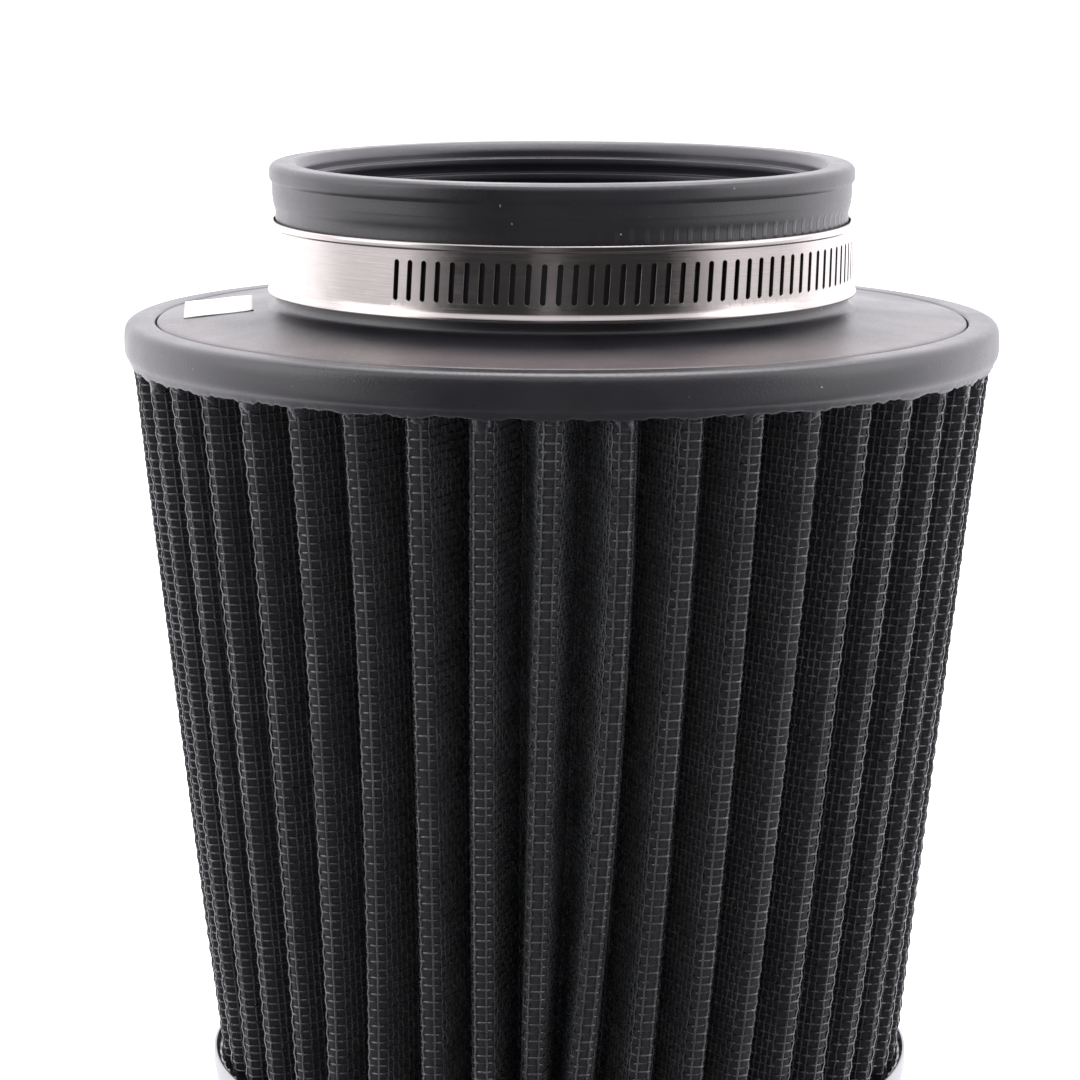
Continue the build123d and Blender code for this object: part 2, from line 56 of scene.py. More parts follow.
# ---------------------------------------------------------------- materials
class Mat:
    """A Principled material with helpers for its nodes."""

    def __init__(self, name, **values):
        self.m = bpy.data.materials.new(name)
        self.m.use_nodes = True
        self.t = self.m.node_tree
        self.p = self.t.nodes["Principled BSDF"]
        self.set(**values)
        self.coords = self.t.nodes.new("ShaderNodeTexCoord")

    def set(self, **values):
        for k, v in values.items():
            k = k.replace("_", " ").title() if k != "ior" else "IOR"
            k = {"Specular": "Specular IOR Level"}.get(k, k)
            self.p.inputs[k].default_value = v

    def link(self, a, b):
        self.t.links.new(a, b)

    def to(self, socket, out):
        self.link(out, self.p.inputs[socket])

    def node(self, kind, **props):
        n = self.t.nodes.new(kind)
        for k, v in props.items():
            setattr(n, k, v)
        return n

    def put(self, socket, value):
        if isinstance(value, (int, float, tuple)):
            socket.default_value = value
        else:
            self.link(value, socket)

    def mapping(self, scale, source=None, location=(0, 0, 0)):
        n = self.node("ShaderNodeMapping")
        n.inputs["Scale"].default_value = scale
        n.inputs["Location"].default_value = location
        self.link(source or self.coords.outputs["Object"], n.inputs["Vector"])
        return n.outputs["Vector"]

    def noise(self, scale, detail=4.0, rough=0.55, vector=None, distort=0.0, offset=0.0):
        n = self.node("ShaderNodeTexNoise")
        n.noise_dimensions = "3D"
        n.inputs["Scale"].default_value = scale
        n.inputs["Detail"].default_value = detail
        n.inputs["Roughness"].default_value = rough
        n.inputs["Distortion"].default_value = distort
        if vector is None:
            vector = self.coords.outputs["Object"]
        if offset:
            vector = self.mapping((1, 1, 1), vector, (offset, offset * 0.7, offset * 1.3))
        self.link(vector, n.inputs["Vector"])
        return n.outputs["Fac"]

    def voronoi(self, scale, vector=None, feature="F1", randomness=1.0):
        n = self.node("ShaderNodeTexVoronoi", feature=feature)
        n.inputs["Scale"].default_value = scale
        n.inputs["Randomness"].default_value = randomness
        self.link(vector or self.coords.outputs["Object"], n.inputs["Vector"])
        return n.outputs["Distance"]

    def remap(self, value, a, b, c=0.0, d=1.0, smooth=False):
        n = self.node("ShaderNodeMapRange")
        n.interpolation_type = "SMOOTHSTEP" if smooth else "LINEAR"
        self.put(n.inputs["Value"], value)
        for k, v in zip(("From Min", "From Max", "To Min", "To Max"), (a, b, c, d)):
            n.inputs[k].default_value = v
        return n.outputs["Result"]

    def math(self, op, a, b=0.0, c=0.0):
        n = self.node("ShaderNodeMath", operation=op)
        self.put(n.inputs[0], a)
        self.put(n.inputs[1], b)
        if len(n.inputs) > 2:
            self.put(n.inputs[2], c)
        return n.outputs[0]

    def mix(self, fac, a, b, blend="MIX"):
        n = self.node("ShaderNodeMix", data_type="RGBA", blend_type=blend)
        self.put(n.inputs["Factor"], fac)
        self.put(n.inputs[6], a if not isinstance(a, tuple) else (*a, 1.0)[:4])
        self.put(n.inputs[7], b if not isinstance(b, tuple) else (*b, 1.0)[:4])
        return n.outputs[2]

    def ramp(self, fac, *stops):
        n = self.node("ShaderNodeValToRGB")
        e = n.color_ramp.elements
        while len(e) < len(stops):
            e.new(0.5)
        for i, (pos, col) in enumerate(stops):
            e[i].position = pos
            e[i].color = (*col, 1.0) if isinstance(col, tuple) else (col, col, col, 1.0)
        self.link(fac, n.inputs["Fac"])
        return n.outputs["Color"]

    def bump(self, height, distance, strength=1.0, normal=None):
        n = self.node("ShaderNodeBump")
        n.inputs["Distance"].default_value = distance
        n.inputs["Strength"].default_value = strength
        self.link(height, n.inputs["Height"])
        if normal is not None:
            self.link(normal, n.inputs["Normal"])
        return n.outputs["Normal"]

    def xyz(self, source=None):
        n = self.node("ShaderNodeSeparateXYZ")
        self.link(source or self.coords.outputs["Object"], n.inputs[0])
        return n.outputs

    def radius(self):
        x, y, _ = self.xyz()
        return self.math("SQRT", self.math("ADD", self.math("MULTIPLY", x, x), self.math("MULTIPLY", y, y)))


def grey(v, warm=0.0):
    return (v * (1 + warm), v, v * (1 - warm))


def violet(v):
    return (v * 1.04, v * 0.95, v * 1.32)


def rubber(name, base, rough, grain=1.0, specks=True, turned=0.0, imprint=False, painted_front_highlight=False):
    m = Mat(name, roughness=rough, specular=0.5 if painted_front_highlight else 0.95)
    cloud = m.noise(38.0, 5.0, 0.6)
    fine = m.noise(2600.0, 3.0, 0.6)
    streak = m.noise(1.0, 3.0, 0.5, m.mapping((260, 260, 1900)))
    colour = m.mix(m.remap(cloud, 0.3, 0.72, smooth=True), violet(base * 0.8), violet(base * 1.25))
    colour = m.mix(m.remap(streak, 0.45, 0.8, 0, 0.3), colour, grey(base * 1.7))
    if specks:
        spots = m.voronoi(330.0)
        rare = m.noise(120.0, 1.0, 0.5, offset=3.1)
        dust = m.math("MULTIPLY", m.remap(spots, 0.035, 0.06, 1, 0), m.remap(rare, 0.60, 0.64))
        lint = m.noise(900.0, 2.0, 0.7, offset=1.7)
        dust2 = m.remap(lint, 0.735, 0.78, 0, 0.35)
        colour = m.mix(m.math("MAXIMUM", dust, dust2), colour, (0.42, 0.42, 0.41))
    if painted_front_highlight:
        # painted highlight: a lighter brownish patch on the outer part of the disc, strongest towards the -Y front,
        # stands in for the bright grazing reflection there
        rim = m.remap(m.radius(), 0.0555, 0.0675, smooth=True)
        patch = m.remap(m.noise(55.0, 4.0, 0.6, offset=2.2), 0.3, 0.7, 0.55, 1.0)
        front = m.remap(m.xyz()[1], 0.0, -0.045, 0.12, 0.95)
        colour = m.mix(m.math("MULTIPLY", m.math("MULTIPLY", rim, patch), front), colour, (0.14, 0.118, 0.118))
    m.to("Base Color", colour)
    r = m.remap(cloud, 0.25, 0.75, rough - 0.07, rough + 0.09)
    r = m.math("ADD", r, m.remap(fine, 0.3, 0.7, -0.04, 0.05))
    m.to("Roughness", r)
    n = m.bump(fine, 0.000045 * grain, 0.8)
    n = m.bump(cloud, 0.00025, 0.35, n)
    if imprint:
        # ticks that the band's slots have pressed into the wall above it
        x, y, z = m.xyz()
        turn = m.math("ARCTAN2", y, x)
        tick = m.math("SINE", m.math("MULTIPLY", turn, 360.0 / 2.89))
        tick = m.remap(tick, 0.25, 0.8, smooth=True)
        zone = m.math("MULTIPLY", m.remap(z, 0.1696, 0.1703, smooth=True), m.remap(z, 0.1716, 0.1727, 1, 0, smooth=True))
        side = m.remap(m.math("COSINE", m.math("SUBTRACT", turn, 0.3)), -0.25, 0.6, 0.06, 1.0)
        tick = m.math("MULTIPLY", m.math("MULTIPLY", tick, zone), side)
        m.to("Base Color", m.mix(m.math("MULTIPLY", tick, 0.55), colour, (0.075, 0.075, 0.08)))
        n = m.bump(tick, 0.00009, 0.8, n)
    if turned:
        rings = m.noise(1.0, 2.0, 0.5, m.mapping((1, 1, 1), m_combine(m, m.math("MULTIPLY", m.radius(), 5200.0))))
        n = m.bump(rings, 0.00004 * turned, 0.7, n)
    m.to("Normal", n)
    return m.m


def m_combine(m, x):
    n = m.node("ShaderNodeCombineXYZ")
    m.link(x, n.inputs[0])
    return n.outputs[0]


boot_mat = rubber("boot_rubber", 0.011, 0.33, imprint=True)
# the disc carries the painted front highlight, a lighter brownish patch on its outer front
disc_mat = rubber("disc_rubber", 0.013, 0.33, grain=1.3, painted_front_highlight=True)
ring_mat = rubber("urethane", 0.012, 0.34, grain=1.1)
# painted light: the boot's own rubber, painted about three times lighter inside the bore to stand in for light reaching
# the ribs
ribs_painted_light_mat = rubber("boot_ribs_painted_lighter", 0.030, 0.38, specks=False)


def steel(name, tint, rough, along_z=True, aniso=0.55, wear=0.5):
    m = Mat(name, metallic=1.0, roughness=rough, anisotropic=aniso)
    scale = (90, 90, 9000) if along_z else (900, 9000, 9000)
    lines = m.noise(1.0, 4.0, 0.6, m.mapping(scale))
    wide = m.noise(1.0, 3.0, 0.5, m.mapping((60, 60, 1500)))
    blot = m.noise(130.0, 4.0, 0.6, offset=0.9)
    a = tuple(c * 0.86 for c in tint)
    colour = m.mix(m.remap(lines, 0.3, 0.7), a, tint)
    colour = m.mix(m.remap(blot, 0.52, 0.75, 0, wear), colour, tuple(c * 0.78 for c in tint))
    m.to("Base Color", colour)
    r = m.remap(lines, 0.3, 0.72, rough - 0.05, rough + 0.08)
    r = m.math("ADD", r, m.remap(blot, 0.4, 0.75, -0.02, 0.08))
    m.to("Roughness", r)
    n = m.bump(lines, 0.000012, 0.6)
    n = m.bump(wide, 0.00003, 0.4, n)
    m.to("Normal", n)
    return m.m


band_mat = steel("stainless_band", (0.63, 0.583, 0.562), 0.15)
# painted shade: the slot walls are the band's own steel painted about four times darker to stand in for shade inside
# the slots; the rougher, unbrushed finish is the punched edge's own
slot_wall_shade_mat = steel("punched_edge_painted_shade", (0.16, 0.15, 0.145), 0.5, aniso=0.0)
housing_mat = steel("stainless_housing", (0.47, 0.455, 0.44), 0.26, along_z=False)
screw_mat = steel("zinc_screw", (0.42, 0.425, 0.43), 0.28, along_z=False, aniso=0.0, wear=0.7)
strip_mat = steel("plated_strip", (0.5, 0.5, 0.5), 0.4, aniso=0.2)


def cap_material():
    m = Mat("cap_metal", metallic=0.85, roughness=0.34, anisotropic=0.3)
    lines = m.noise(1.0, 4.0, 0.6, m.mapping((70, 70, 5200)))
    cloud = m.noise(60.0, 4.0, 0.6)
    scuff = m.noise(1.0, 3.0, 0.7, m.mapping((300, 300, 2500)), offset=0.4)
    c = m.mix(m.remap(lines, 0.3, 0.7), (0.30, 0.30, 0.315), (0.39, 0.39, 0.405))
    c = m.mix(m.remap(cloud, 0.45, 0.75, 0, 0.45), c, (0.26, 0.26, 0.27))
    m.to("Base Color", c)
    m.to("Roughness", m.math("ADD", m.remap(lines, 0.3, 0.7, 0.28, 0.4), m.remap(scuff, 0.62, 0.78, 0, 0.12)))
    n = m.bump(lines, 0.000015, 0.5)
    m.to("Normal", m.bump(cloud, 0.0002, 0.2, n))
    return m.m


cap_mat = cap_material()


def potting_material():
    m = Mat("potting", roughness=0.12, specular=0.5, coat_weight=0.6, coat_roughness=0.06)
    swirl = m.noise(90.0, 4.0, 0.5, distort=0.6)
    fine = m.noise(1500.0, 2.0, 0.5)
    m.to("Base Color", m.mix(m.remap(swirl, 0.3, 0.7), (0.007, 0.007, 0.008), (0.016, 0.016, 0.017)))
    m.to("Roughness", m.remap(swirl, 0.3, 0.75, 0.08, 0.26))
    bubbles = m.remap(m.voronoi(420.0), 0.05, 0.16, 0, 1, smooth=True)
    n = m.bump(swirl, 0.0006, 0.4)
    n = m.bump(bubbles, 0.00012, 0.5, n)
    m.to("Normal", m.bump(fine, 0.00002, 0.4, n))
    return m.m


pot_mat = potting_material()


def media_material():
    m = Mat("cotton_media", roughness=0.92, specular=0.25)
    x, y, z = m.xyz()
    cloud = m.noise(70.0, 5.0, 0.6)
    fibre = m.noise(2400.0, 5.0, 0.75)
    across = m.noise(1.0, 3.0, 0.6, m.mapping((2600, 2600, 700)))
    c = m.mix(m.remap(fibre, 0.35, 0.7), (0.0062, 0.0058, 0.0075), (0.0175, 0.0167, 0.0205))
    c = m.mix(m.remap(cloud, 0.4, 0.75, 0, 0.5), c, (0.012, 0.0114, 0.014))
    m.to("Base Color", c)
    n = m.bump(fibre, 0.00012, 0.9)
    m.to("Normal", m.bump(across, 0.00008, 0.6, n))
    m.set(sheen_weight=0.12)
    return m.m


media_mat = media_material()


def wire_material(name, low, high, rough):
    m = Mat(name, metallic=0.75, roughness=rough)
    cloud = m.noise(160.0, 4.0, 0.6)
    fine = m.noise(5200.0, 3.0, 0.6)
    c = m.mix(m.remap(cloud, 0.35, 0.7), grey(low, -0.04), grey(high, -0.04))
    c = m.mix(m.remap(fine, 0.55, 0.75, 0, 0.5), c, grey(high * 1.6, -0.04))
    m.to("Base Color", c)
    m.to("Roughness", m.remap(fine, 0.3, 0.7, rough - 0.08, rough + 0.1))
    m.to("Normal", m.bump(fine, 0.00001, 0.5))
    return m.m


wire_mat = wire_material("wire_mesh", 0.08, 0.17, 0.26)
wire_in_mat = wire_material("wire_mesh_inner", 0.10, 0.18, 0.36)


def label_material():
    m = Mat("label_paper", roughness=0.55, specular=0.4)
    fibre = m.noise(3500.0, 4.0, 0.6)
    cloud = m.noise(160.0, 3.0, 0.5)
    m.to("Base Color", m.mix(m.remap(cloud, 0.35, 0.7), (0.66, 0.66, 0.66), (0.76, 0.76, 0.765)))
    m.to("Roughness", m.remap(fibre, 0.3, 0.7, 0.45, 0.65))
    m.to("Normal", m.bump(fibre, 0.00002, 0.6))
    return m.m


label_mat = label_material()


# ---------------------------------------------------------------- mesh helpers
def make_mesh(name, verts, faces, mats, smooth=True, index=None, body="filter"):
    """verts in mm; faces is one array of quads or a list of arrays."""
    if not isinstance(faces, list):
        faces = [faces]
    me = bpy.data.meshes.new(name)
    v = np.asarray(verts, np.float32) * MM
    me.vertices.add(len(v))
    me.vertices.foreach_set("co", v.ravel())
    flat = np.concatenate([np.asarray(f, np.int32).ravel() for f in faces])
    sizes = np.concatenate([np.full(len(f), np.asarray(f).shape[1]) for f in faces])
    me.loops.add(len(flat))
    me.loops.foreach_set("vertex_index", flat)
    me.polygons.add(len(sizes))
    starts = np.concatenate([[0], np.cumsum(sizes)[:-1]]).astype(np.int32)
    me.polygons.foreach_set("loop_start", starts)
    me.polygons.foreach_set("use_smooth", np.full(len(sizes), smooth))
    for m in mats if isinstance(mats, (list, tuple)) else [mats]:
        me.materials.append(m)
    if index is not None:
        me.polygons.foreach_set("material_index", np.asarray(index, np.int32))
    me.update(calc_edges=True)
    me.validate()
    o = bpy.data.objects.new(name, me)
    bpy.context.scene.collection.objects.link(o)
    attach(o, body)
    return o


def grid(nu, nv, close_u=False, close_v=False, start=0):
    """Quads of a grid of nu by nv vertices, v running fastest."""
    u = np.arange(nu if close_u else nu - 1)
    v = np.arange(nv if close_v else nv - 1)
    U, V = np.meshgrid(u, v, indexing="ij")
    U2, V2 = (U + 1) % nu, (V + 1) % nv
    q = np.stack([U * nv + V, U2 * nv + V, U2 * nv + V2, U * nv + V2], -1)
    return q.reshape(-1, 4) + start


def soft(points, steps=4):
    """Closed profile of (r, z[, fillet]) points with its corners rounded."""
    out = []
    n = len(points)
    for i, p in enumerate(points):
        f = p[2] if len(p) > 2 else 0.0
        a, b, c = (np.array(points[(i + k) % n][:2], float) for k in (-1, 0, 1))
        if f <= 0:
            out.append(tuple(b))
            continue
        u, w = a - b, c - b
        lu, lw = np.linalg.norm(u), np.linalg.norm(w)
        cut = min(f, 0.48 * lu, 0.48 * lw)
        s, e = b + u / lu * cut, b + w / lw * cut
        for k in range(steps + 1):
            t = k / steps
            q = (1 - t) ** 2 * s + 2 * t * (1 - t) * b + t * t * e
            out.append(tuple(q))
    return out


def densify(profile, step):
    out = []
    n = len(profile)
    for i in range(n):
        a, b = np.array(profile[i]), np.array(profile[(i + 1) % n])
        k = max(1, int(math.ceil(np.linalg.norm(b - a) / step)))
        for j in range(k):
            out.append(tuple(a + (b - a) * j / k))
    return out


def lathe(name, profile, mats, segs=320, step=1.2, warp=None, pick=None, body="filter"):
    prof = np.array(densify(profile, step))
    n = len(prof)
    th = np.arange(segs) * 2 * math.pi / segs
    T, K = np.meshgrid(th, np.arange(n), indexing="ij")
    r, z = prof[K, 0], prof[K, 1]
    if warp:
        r, z = warp(r, z, T)
    v = np.stack([r * np.cos(T), r * np.sin(T), z], -1).reshape(-1, 3)
    q = grid(segs, n, True, True)
    index = None
    if pick:
        mid = v[q].mean(1)
        index = pick(np.hypot(mid[:, 0], mid[:, 1]), mid[:, 2])
    # outward faces: a profile given anticlockwise in (r, z) faces outwards
    area = 0.5 * np.sum(prof[:, 0] * np.roll(prof[:, 1], -1) - np.roll(prof[:, 0], -1) * prof[:, 1])
    if area < 0:
        q = q[:, ::-1]
    return make_mesh(name, v, q, mats, index=index, body=body)


def lump(T, seed, amp, orders=(2, 3, 5, 7)):
    rng = np.random.default_rng(seed)
    out = 0
    for k in orders:
        out = out + rng.uniform(-1, 1) * np.sin(k * T + rng.uniform(0, 6.28)) / k**0.5
    return amp * out


# ---------------------------------------------------------------- neck boot
BORE, ROOT, NECK_R, BEAD_R, NECK_TOP = 44.45, 45.25, 49.8, 50.85, 179.5
boot = [(45.9, 178.85, 0.6), (46.55, 179.5, 0.5), (50.1, 179.5, 0.7), (50.85, 178.75, 0.6)]
boot += [(50.85, 176.9, 0.4), (50.55, 176.4, 0.3), (50.38, 176.2, 0.3)]
boot += [(50.36, 173.95, 0.3), (50.30, 173.7, 0.3), (50.22, 172.7, 0.6), (49.8, 171.5, 0.5)]
boot += [(49.8, 156.1, 0.5), (49.97, 155.4, 0.5), (50.6, 154.85, 0.7), (51.9, 154.42, 1.2)]
boot += [(54.3, 154.03, 1.6), (57.0, 153.72, 2), (66.5, 152.72, 2.5), (69.6, 152.5, 0.8), (70.35, 152.28, 0.45), (70.6, 151.75, 0.3)]
boot += [(70.6, 149.4, 0.2), (46.9, 149.4, 0.4), (45.35, 150.9, 0.3), (44.45, 151.8, 0.3)]
ribs = []
for i in range(8):
    t = NECK_TOP - 2.8 * (i + 1)
    ribs += [(ROOT, t + 0.02, 0.22), (BORE + 0.02, t - 0.12, 0.2), (BORE, t - 1.1, 0.3)]
    if i < 7:
        ribs += [(ROOT, t - 2.45, 0.35)]
boot += ribs[::-1]
boot += [(ROOT, 178.0, 0.4)]


def boot_warp(r, z, T):
    up = np.clip((z - 158) / 20, 0, 1) ** 2
    r = r + lump(T, 3, 0.05) * up
    z = z + lump(T, 5, 0.05, (2, 3, 4)) * up
    lip = np.exp(-(((r - 46.4) / 0.5) ** 2)) * (z > 178.5)
    z = z + lip * lump(T, 8, 0.05, (9, 14, 23, 37))
    return r, z


neck = lathe(
    "neck_boot_moulding",
    soft(boot),
    [boot_mat, disc_mat, ribs_painted_light_mat],
    segs=384,
    step=0.9,
    warp=boot_warp,
    pick=lambda r, z: np.where((r > 51.2) & (z < 156), 1, np.where(r < 46.2, 2, 0)),
)
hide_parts("neck_boot")


# ---------------------------------------------------------------- pleats
N = 44
AZ_TOP = [-59.9, -51.88, -43.67, -35.35, -27.11, -18.49, -10.2, -1.73, 7.43, 15.99, 24.16, 32.42, 40.7, 48.81, 57.11, 65.6]
AZ_MID = [-59.9, -52.09, -43.82, -35.56, -27.3, -18.89, -10.77, -2.3, 7.1, 15.4, 23.76, 31.97, 39.92, 47.9, 56.13, 64.7]
AZ_LOW = [-60.9, -53.08, -44.89, -36.92, -28.8, -19.9, -11.74, -3.6, 4.9, 13.66, 22.3, 30.4, 38.4, 46.32, 54.34, 62.75]
Z_TOP, Z_MID, Z_LOW = 138.5, 110.5, 60.0
rng = np.random.default_rng(11)


def full_turn(front):
    front = np.array(front)
    gap = (front[0] + 360 - front[-1]) / (N - len(front) + 1)
    rest = front[-1] + gap * np.arange(1, N - len(front) + 1)
    return np.concatenate([front, rest])


rest_jitter = np.concatenate([np.zeros(16), rng.uniform(-0.32, 0.32, N - 16)])
A_top, A_mid, A_low = (full_turn(a) + rest_jitter for a in (AZ_TOP, AZ_MID, AZ_LOW))
A_low = A_low + np.concatenate([np.zeros(16), rng.uniform(-0.2, 0.2, N - 16)])
crest_grow = rng.uniform(-0.22, 0.22, N)
crest_bulge = rng.uniform(-0.25, 0.25, N)
valley_grow = rng.uniform(-0.7, 0.7, N)
# the folds that carry the seam strip keep to the CAD's own spacing and depth
for i in range(28, 32):
    for table, height in ((A_top, Z_TOP), (A_mid, Z_MID), (A_low, Z_LOW)):
        table[i] = 90 + (i - 18) * 360 / 44 - 1.2 + 1.7 * (height - 145.4) / 124.0
    crest_grow[i] = crest_bulge[i] = valley_grow[i] = 0.0

HALF = 0.93
CREST_R_TOP, SLOPE = 75.06, (75.06 - 61.25) / (145.4 - 21.4)
DEPTH, FOLD_C, FOLD_V = 16.4, 2.15, 1.95


def crest_azimuth(z):
    """(len(z), N) azimuths in radians, measured from +X like the CAD."""
    z = np.asarray(z, float)[:, None]
    la = (z - Z_MID) * (z - Z_LOW) / ((Z_TOP - Z_MID) * (Z_TOP - Z_LOW))
    lb = (z - Z_TOP) * (z - Z_LOW) / ((Z_MID - Z_TOP) * (Z_MID - Z_LOW))
    lc = (z - Z_TOP) * (z - Z_MID) / ((Z_LOW - Z_TOP) * (Z_LOW - Z_MID))
    az = A_top[None] * la + A_mid[None] * lb + A_low[None] * lc
    return np.radians(az - 90.0)


def sheet(z, fracs):
    """Middle line and outward normal of the folded sheet at heights z, at
    each fraction of the way from a crest to its valley and on to the next
    crest. Returns (len(z), 2 N len(fracs), 2) points and normals."""
    z = np.asarray(z, float)
    fr = np.asarray(fracs, float)
    az = crest_azimuth(z)
    nxt = np.concatenate([az[:, 1:], az[:, :1] + 2 * math.pi], 1)
    mid = (az + nxt) / 2
    h = (nxt - az) / 2
    rr = (CREST_R_TOP - SLOPE * (145.4 - z))[:, None]
    wave = np.sin((z[:, None] - 20) / 125 * math.pi)
    crest_r = rr + np.minimum(crest_grow[None] * np.clip((145 - z[:, None]) / 20, 0, 1) * np.clip((z[:, None] - 22) / 20, 0, 1) + crest_bulge[None] * wave * 0.5, 0.35)
    val_r = rr - DEPTH + valley_grow[None] * wave
    rc, rv = FOLD_C - HALF, FOLD_V - HALF
    pts, nrm = [], []
    for half, base, cr in ((0, az, crest_r), (1, nxt, np.roll(crest_r, -1, 1))):
        cc = cr - FOLD_C
        vc = val_r + FOLD_V
        vx, vy = vc * np.cos(h), vc * np.sin(h)
        dx, dy = vx - cc, vy
        d = np.hypot(dx, dy)
        lean = np.arccos(np.clip((rc + rv) / d, -1, 1))
        tilt = np.arctan2(dy, dx) - lean
        tilt = np.where(np.sin(tilt) < 0, np.arctan2(dy, dx) + lean, tilt)
        tilt = np.arctan2(np.sin(tilt), np.cos(tilt))
        L1, L2, L3 = rc * tilt, np.sqrt(d * d - (rc + rv) ** 2), rv * (tilt - h)
        L = L1 + L2 + L3
        s = fr[None, None, :] * L[..., None]
        t1, hh = tilt[..., None], h[..., None]
        L1, L2 = L1[..., None], L2[..., None]
        a = np.where(s < L1, s / rc, t1)
        nx, ny = np.cos(a), np.sin(a)
        px, py = cc[..., None] + rc * nx, rc * ny
        fx, fy = -np.sin(t1), np.cos(t1)
        # the flank runs from the crest's tangent point towards the valley's
        fs = np.clip(s - L1, 0, L2)
        tx = (vx[..., None] - rv * np.cos(t1)) - (cc[..., None] + rc * np.cos(t1))
        ty = (vy[..., None] - rv * np.sin(t1)) - rc * np.sin(t1)
        px, py = px + tx * fs / L2, py + ty * fs / L2
        b = np.clip((s - L1 - L2) / rv, 0, None)
        inv = s > L1 + L2
        ang = t1 - b
        px = np.where(inv, vx[..., None] - rv * np.cos(ang), px)
        py = np.where(inv, vy[..., None] - rv * np.sin(ang), py)
        nx = np.where(inv, np.cos(ang), nx)
        ny = np.where(inv, np.sin(ang), ny)
        if half:
            py, ny = -py[..., ::-1], -ny[..., ::-1]
            px, nx = px[..., ::-1], nx[..., ::-1]
        c, sn = np.cos(base)[..., None], np.sin(base)[..., None]
        pts.append(np.stack([px * c - py * sn, px * sn + py * c], -1))
        nrm.append(np.stack([nx * c - ny * sn, nx * sn + ny * c], -1))
    P = np.concatenate(pts, 2)
    Q = np.concatenate(nrm, 2)
    return P.reshape(len(z), -1, 2), Q.reshape(len(z), -1, 2)


PACK_LOW, PACK_TOP = 13.0, 148.4


def pleated_skin(name, offset_out, offset_in, mat, nz=46, n=18):
    z = np.linspace(PACK_LOW, PACK_TOP, nz)
    fr = (np.arange(n) + 0.5) / n
    P, Q = sheet(z, fr)
    k = P.shape[1]
    Z = np.repeat(z[:, None], k, 1)[..., None]
    outer = np.concatenate([P + Q * offset_out, Z], -1).reshape(-1, 3)
    inner = np.concatenate([P + Q * offset_in, Z], -1).reshape(-1, 3)
    m = len(outer)
    q1 = grid(nz, k, False, True)
    q2 = grid(nz, k, False, True, m)[:, ::-1]
    i = np.arange(k)
    j = (i + 1) % k
    low = np.stack([i, j, j + m, i + m], 1)
    t = (nz - 1) * k
    top = np.stack([t + j, t + i, t + i + m, t + j + m], 1)
    return make_mesh(name, np.concatenate([outer, inner]), np.concatenate([q1[:, ::-1], q2[:, ::-1], low, top]), mat)


media = pleated_skin("filter_media_gauze", 0.42, -0.42, media_mat)
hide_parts("filter_media")


def woven(name, level, per_half, pitch, amp, wire, mat, facing=1.0, low=PACK_LOW, high=PACK_TOP):
    """Plain-weave wire screen lying on the folded sheet: upright wires run
    along the folds and the cross wires go round all of them. Each wire is a
    ridge of three vertices, its open back lying on the sheet."""
    nz = int(round((high - low) / pitch)) + 1
    z = np.linspace(low, high, nz)
    fr = (np.arange(per_half) + 0.5) / per_half
    P, Q = sheet(z, fr)
    k = P.shape[1]
    jj, ii = np.meshgrid(np.arange(nz), np.arange(k), indexing="ij")
    over = np.where((ii + jj) % 2 == 0, 1.0, -1.0)
    rng = np.random.default_rng(5)
    shift = rng.normal(0, 0.05, (nz, 1)) + rng.normal(0, 0.022, (nz, k))
    Z = z[:, None] + shift
    T = np.stack([-Q[..., 1], Q[..., 0]], -1)
    side = rng.normal(0, 0.055, (1, k, 1)) + rng.normal(0, 0.02, (nz, k, 1))
    B = P + T * side
    verts, faces = [], []
    # upright wires
    up = level + 0.03 + amp * over
    C = B + Q * (facing * up)[..., None]
    ring = [C - T * wire, C + Q * (facing * wire), C + T * wire]
    rows = [np.concatenate([p, Z[..., None]], -1) for p in ring]
    V = np.stack(rows, 2)  # nz, k, 3, 3
    verts.append(V.reshape(-1, 3))
    a = np.arange(nz - 1)[:, None, None] * (k * 3) + np.arange(k)[None, :, None] * 3
    for e in (0, 1):
        lo = a[..., 0] + e
        hi = lo + k * 3
        f = np.stack([lo, lo + 1, hi + 1, hi], -1).reshape(-1, 4)
        faces.append(f if facing > 0 else f[:, ::-1])
    base = nz * k * 3
    # cross wires, with a point between each two crossings
    fr2 = (np.arange(2 * per_half) + 0.5) / (2 * per_half)
    P2, Q2 = sheet(z, (np.arange(2 * per_half) / 2 + 0.5) / per_half)
    k2 = P2.shape[1]
    i2 = np.arange(k2)
    s0 = 1 - 2 * (np.arange(nz) % 2)
    rise = np.cos(math.pi * (i2 // 2))[None] * s0[:, None]
    rise = np.where((i2 % 2 == 0)[None], rise, 0.0)
    B2 = P2.copy()
    B2[:, ::2] = B
    Z = np.repeat(Z, 2, 1)
    Z[:, 1::2] = (Z[:, ::2] + np.roll(Z[:, ::2], -1, 1)) / 2
    B, Q, over, k = B2, Q2, rise, k2
    C = B + Q * (facing * (level - 0.02 - amp * over))[..., None]
    thin = wire * 0.86
    one = np.concatenate([C, (Z - thin)[..., None]], -1)
    two = np.concatenate([C + Q * (facing * thin), Z[..., None]], -1)
    three = np.concatenate([C, (Z + thin)[..., None]], -1)
    V = np.stack([one, two, three], 2)
    verts.append(V.reshape(-1, 3))
    row = np.arange(nz)[:, None] * (k * 3)
    i = np.arange(k)[None, :]
    j = (i + 1) % k
    for e in (0, 1):
        lo = row + i * 3 + e + base
        hi = row + j * 3 + e + base
        f = np.stack([lo, hi, hi + 1, lo + 1], -1).reshape(-1, 4)
        faces.append(f if facing > 0 else f[:, ::-1])
    return make_mesh(name, np.concatenate(verts), np.concatenate(faces), mat)


outer_wires = woven("outer_woven_screen", 0.42 + 0.16, 12, 1.44, 0.13, 0.175, wire_mat)
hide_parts("outer_wire_screen")
inner_wires = woven("inner_woven_screen", 0.42 + 0.17, 9, 2.0, 0.11, 0.15, wire_in_mat, facing=-1.0)
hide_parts("inner_wire_screen")


